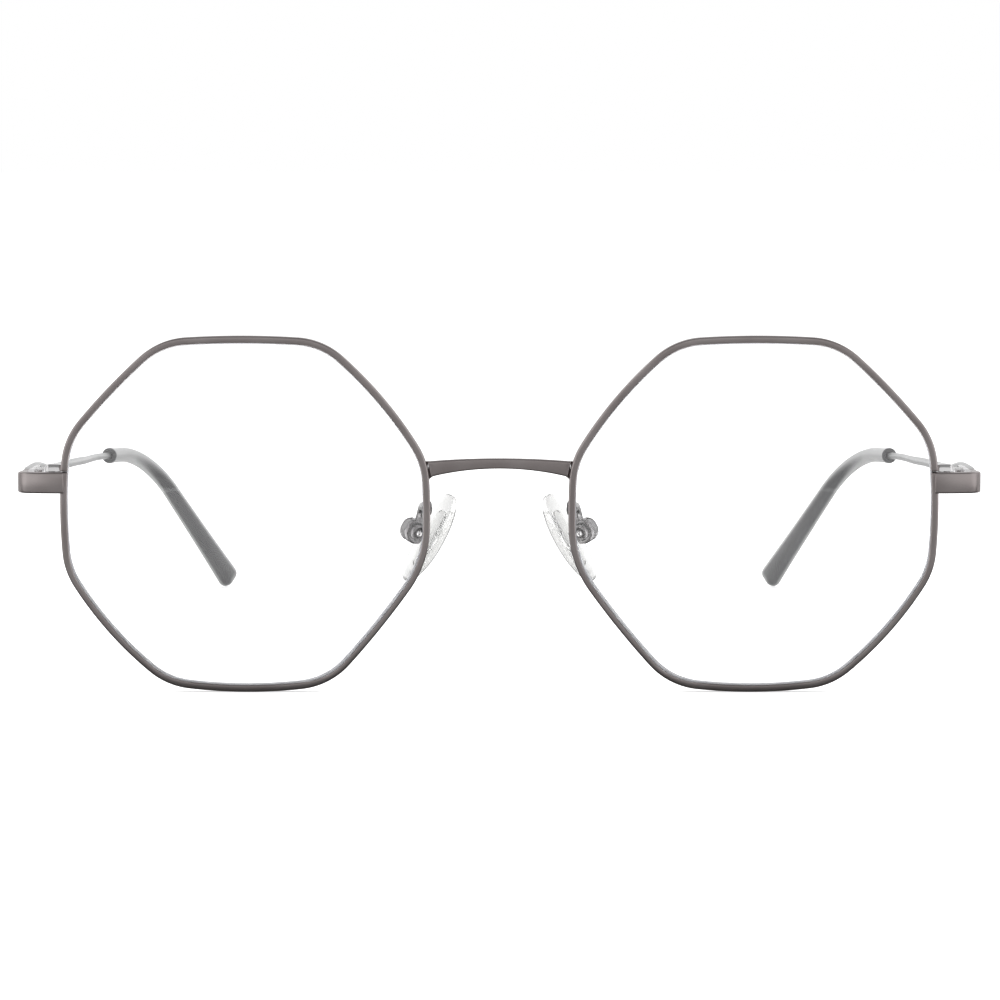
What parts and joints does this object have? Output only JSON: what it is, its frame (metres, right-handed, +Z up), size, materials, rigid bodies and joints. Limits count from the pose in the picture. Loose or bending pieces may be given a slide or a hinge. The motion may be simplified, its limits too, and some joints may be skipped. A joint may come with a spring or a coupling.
{
  "type": "geometric eyeglasses",
  "caption": "Metal full rim eyeglasses with eight sided lenses, a low bridge, adjustable nose pads and folding wire temples with slip-on tips.",
  "frame": {"origin": "middle of the footprint on the surface that the frame stands on: the rims' lowest points and the temple tips are at Z = 0", "axes": "+X to the wearer's left, +Y from the lenses back to the ears, +Z up"},
  "size_m": [0.137, 0.1408, 0.0507],
  "materials": {
    "rim_coating": "satin gunmetal coating on nickel alloy",
    "bare_metal": "satin gunmetal plated wire",
    "screw_steel": "bright stainless steel",
    "temple_wire": "satin light grey metal wire",
    "tip": "satin dark grey acetate",
    "pad_silicone": "clear soft silicone",
    "pad_core": "clear hard plastic",
    "lens": "clear demonstration lens with a pale polished edge"
  },
  "bodies": {
    "front": {"rim_left": "rim_coating", "rim_right": "rim_coating", "lens_left": "lens", "lens_right": "lens", "bridge": "rim_coating", "lock_upper_left": "rim_coating", "lock_upper_right": "rim_coating", "lock_lower_left": "rim_coating", "lock_lower_right": "rim_coating", "lock_screw_left": "screw_steel", "lock_screw_right": "screw_steel", "end_piece_left": "rim_coating", "end_piece_right": "rim_coating", "pad_arm_left": "bare_metal", "pad_arm_right": "bare_metal", "pad_box_left": "bare_metal", "pad_box_right": "bare_metal", "pad_screw_left": "screw_steel", "pad_screw_right": "screw_steel", "hinge_front_left": "rim_coating", "hinge_front_right": "rim_coating", "hinge_screw_left": "screw_steel", "hinge_screw_right": "screw_steel"},
    "temple_arm_left": {"hinge_temple_left": "rim_coating", "temple_left": "temple_wire", "temple_tip_left": "tip"},
    "pad_assembly_left": {"nose_pad_left": "pad_silicone", "pad_core_left": "pad_core"},
    "temple_arm_right": {"hinge_temple_right": "rim_coating", "temple_right": "temple_wire", "temple_tip_right": "tip"},
    "pad_assembly_right": {"nose_pad_right": "pad_silicone", "pad_core_right": "pad_core"}
  },
  "joints": [
    {"name": "temple_fold_left", "type": "hinge", "parent": "front", "child": "temple_arm_left", "pos_m": [0.06585, -0.05938, 0.0299], "axis": [0, 0, 1], "range_deg": [0, 85]},
    {"name": "temple_fold_right", "type": "hinge", "parent": "front", "child": "temple_arm_right", "pos_m": [-0.06585, -0.05938, 0.0299], "axis": [0, 0, -1], "range_deg": [0, 78]},
    {"name": "pad_rock_left", "type": "hinge", "parent": "front", "child": "pad_assembly_left", "pos_m": [0.0119, -0.06038, 0.0222], "axis": [0.3134, 0.9452, 0.0917], "range_deg": [-10, 10]},
    {"name": "pad_rock_right", "type": "hinge", "parent": "front", "child": "pad_assembly_right", "pos_m": [-0.0119, -0.06038, 0.0222], "axis": [0.3134, -0.9452, -0.0917], "range_deg": [-10, 10]}
  ]
}
